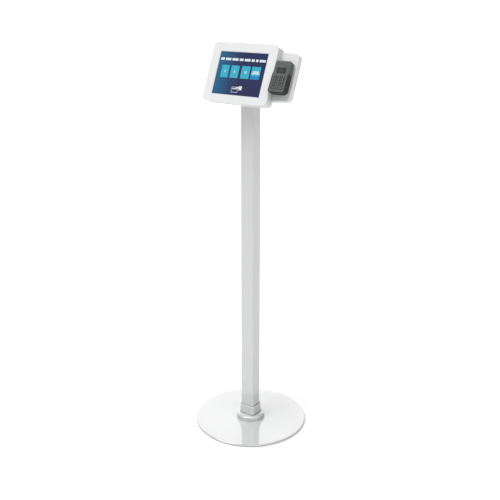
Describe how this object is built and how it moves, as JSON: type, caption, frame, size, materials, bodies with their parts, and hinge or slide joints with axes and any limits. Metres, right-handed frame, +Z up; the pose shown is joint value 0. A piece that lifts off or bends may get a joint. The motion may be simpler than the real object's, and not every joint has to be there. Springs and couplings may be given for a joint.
{
  "type": "tablet payment kiosk",
  "caption": "Floor-standing payment kiosk: round base, box-section post, leaning tablet enclosure with a lit screen, and a card reader with keypad on a side wing.",
  "frame": {"origin": "on the floor under the middle of the round base plate", "axes": "+Z up, screen and reader face -Y, reader wing on the +X side"},
  "size_m": [0.4499, 0.45, 1.5208],
  "materials": {
    "white_paint": "smooth gloss powder coat",
    "white_shell": "satin white powder coat",
    "foot_rubber": "matt",
    "screw_steel": "zinc plated",
    "black_screw": "black oxide",
    "lock_chrome": "polished",
    "tray_steel": "plain sheet",
    "foam": "closed-cell foam",
    "tablet_metal": "bead blasted",
    "screen_glass": "polished, lit",
    "reader_plastic": "fine texture",
    "reader_rubber": "soft touch",
    "cradle_plastic": "fine texture",
    "display_glass": "hard coated",
    "key_grey": "satin",
    "key_red": "satin",
    "key_yellow": "satin",
    "key_green": "satin",
    "board_green": "solder mask",
    "battery_wrap": "film wrap",
    "grommet_rubber": "matt",
    "inlay_green": "gloss",
    "key_legend": "printed"
  },
  "bodies": {
    "stand": {"base_plate": "white_paint", "base_foot_pads": "foot_rubber", "socket_sleeve": "white_paint", "socket_cover": "white_paint", "socket_bolts": "screw_steel", "sleeve_grub_screws": "black_screw", "post": "white_paint", "post_grommet": "grommet_rubber", "tilt_yoke": "white_paint", "yoke_screws": "screw_steel", "tilt_pin": "screw_steel", "tilt_nut": "screw_steel", "tilt_washers": "screw_steel"},
    "head": {"tilt_knuckle": "white_paint", "knuckle_screws": "screw_steel", "rear_shell": "white_shell", "shell_grommet": "grommet_rubber", "hinge_pins": "screw_steel", "lock_body": "lock_chrome", "tablet_tray": "tray_steel", "tablet_foam_pads": "foam", "tablet_body": "tablet_metal", "tablet_glass": "screen_glass", "wing_shell": "white_shell", "wing_cover": "white_shell", "wing_cover_screws": "screw_steel", "reader_cradle": "cradle_plastic", "small_screws": "screw_steel", "reader_lower_case": "reader_plastic", "reader_face": "reader_plastic", "reader_bumper": "reader_rubber", "display_window": "display_glass", "display_module": "board_green", "reader_board": "board_green", "key_dome_sheet": "foam", "reader_battery": "battery_wrap", "card_contact_block": "cradle_plastic", "reader_case_screws": "screw_steel", "side_inlay": "inlay_green"},
    "bezel": {"front_bezel": "white_shell", "bezel_gasket": "foam", "lock_keeper": "screw_steel"},
    "lock": {"lock_barrel": "lock_chrome", "lock_cam": "screw_steel"},
    "key_1": {"key_1": "key_grey"},
    "key_2": {"key_2": "key_grey"},
    "key_3": {"key_3": "key_grey"},
    "key_4": {"key_4": "key_grey"},
    "key_5": {"key_5": "key_grey"},
    "key_6": {"key_6": "key_grey"},
    "key_7": {"key_7": "key_grey"},
    "key_8": {"key_8": "key_grey"},
    "key_9": {"key_9": "key_grey"},
    "key_star": {"key_star": "key_grey"},
    "key_0": {"key_0": "key_grey"},
    "key_hash": {"key_hash": "key_grey"},
    "key_cancel": {"key_cancel": "key_red"},
    "key_clear": {"key_clear": "key_yellow"},
    "key_enter": {"key_enter": "key_green"}
  },
  "joints": [
    {"name": "head_tilt", "type": "hinge", "parent": "stand", "child": "head", "pos_m": [0, 0, 1.353], "axis": [-1, 0, 0], "range_deg": [-18, 27]},
    {"name": "bezel_hinge", "type": "hinge", "parent": "head", "child": "bezel", "pos_m": [0, -0.10431, 1.31971], "axis": [1, 0, 0], "range_deg": [0, 95]},
    {"name": "lock_turn", "type": "hinge", "parent": "head", "child": "lock", "pos_m": [0, -0.00757, 1.51178], "axis": [0, 0.3907, 0.9205], "range_deg": [0, 90]},
    {"name": "key_1_press", "type": "slide", "parent": "head", "child": "key_1", "axis": [0, 0.8829, -0.4695], "range_m": [0, 0.0009], "stiffness_N_per_m": 1500},
    {"name": "key_2_press", "type": "slide", "parent": "head", "child": "key_2", "axis": [0, 0.8829, -0.4695], "range_m": [0, 0.0009], "stiffness_N_per_m": 1500},
    {"name": "key_3_press", "type": "slide", "parent": "head", "child": "key_3", "axis": [0, 0.8829, -0.4695], "range_m": [0, 0.0009], "stiffness_N_per_m": 1500},
    {"name": "key_4_press", "type": "slide", "parent": "head", "child": "key_4", "axis": [0, 0.8829, -0.4695], "range_m": [0, 0.0009], "stiffness_N_per_m": 1500},
    {"name": "key_5_press", "type": "slide", "parent": "head", "child": "key_5", "axis": [0, 0.8829, -0.4695], "range_m": [0, 0.0009], "stiffness_N_per_m": 1500},
    {"name": "key_6_press", "type": "slide", "parent": "head", "child": "key_6", "axis": [0, 0.8829, -0.4695], "range_m": [0, 0.0009], "stiffness_N_per_m": 1500},
    {"name": "key_7_press", "type": "slide", "parent": "head", "child": "key_7", "axis": [0, 0.8829, -0.4695], "range_m": [0, 0.0009], "stiffness_N_per_m": 1500},
    {"name": "key_8_press", "type": "slide", "parent": "head", "child": "key_8", "axis": [0, 0.8829, -0.4695], "range_m": [0, 0.0009], "stiffness_N_per_m": 1500},
    {"name": "key_9_press", "type": "slide", "parent": "head", "child": "key_9", "axis": [0, 0.8829, -0.4695], "range_m": [0, 0.0009], "stiffness_N_per_m": 1500},
    {"name": "key_star_press", "type": "slide", "parent": "head", "child": "key_star", "axis": [0, 0.8829, -0.4695], "range_m": [0, 0.0009], "stiffness_N_per_m": 1500},
    {"name": "key_0_press", "type": "slide", "parent": "head", "child": "key_0", "axis": [0, 0.8829, -0.4695], "range_m": [0, 0.0009], "stiffness_N_per_m": 1500},
    {"name": "key_hash_press", "type": "slide", "parent": "head", "child": "key_hash", "axis": [0, 0.8829, -0.4695], "range_m": [0, 0.0009], "stiffness_N_per_m": 1500},
    {"name": "key_cancel_press", "type": "slide", "parent": "head", "child": "key_cancel", "axis": [0, 0.8829, -0.4695], "range_m": [0, 0.0009], "stiffness_N_per_m": 1500},
    {"name": "key_clear_press", "type": "slide", "parent": "head", "child": "key_clear", "axis": [0, 0.8829, -0.4695], "range_m": [0, 0.0009], "stiffness_N_per_m": 1500},
    {"name": "key_enter_press", "type": "slide", "parent": "head", "child": "key_enter", "axis": [0, 0.8829, -0.4695], "range_m": [0, 0.0009], "stiffness_N_per_m": 1500}
  ]
}
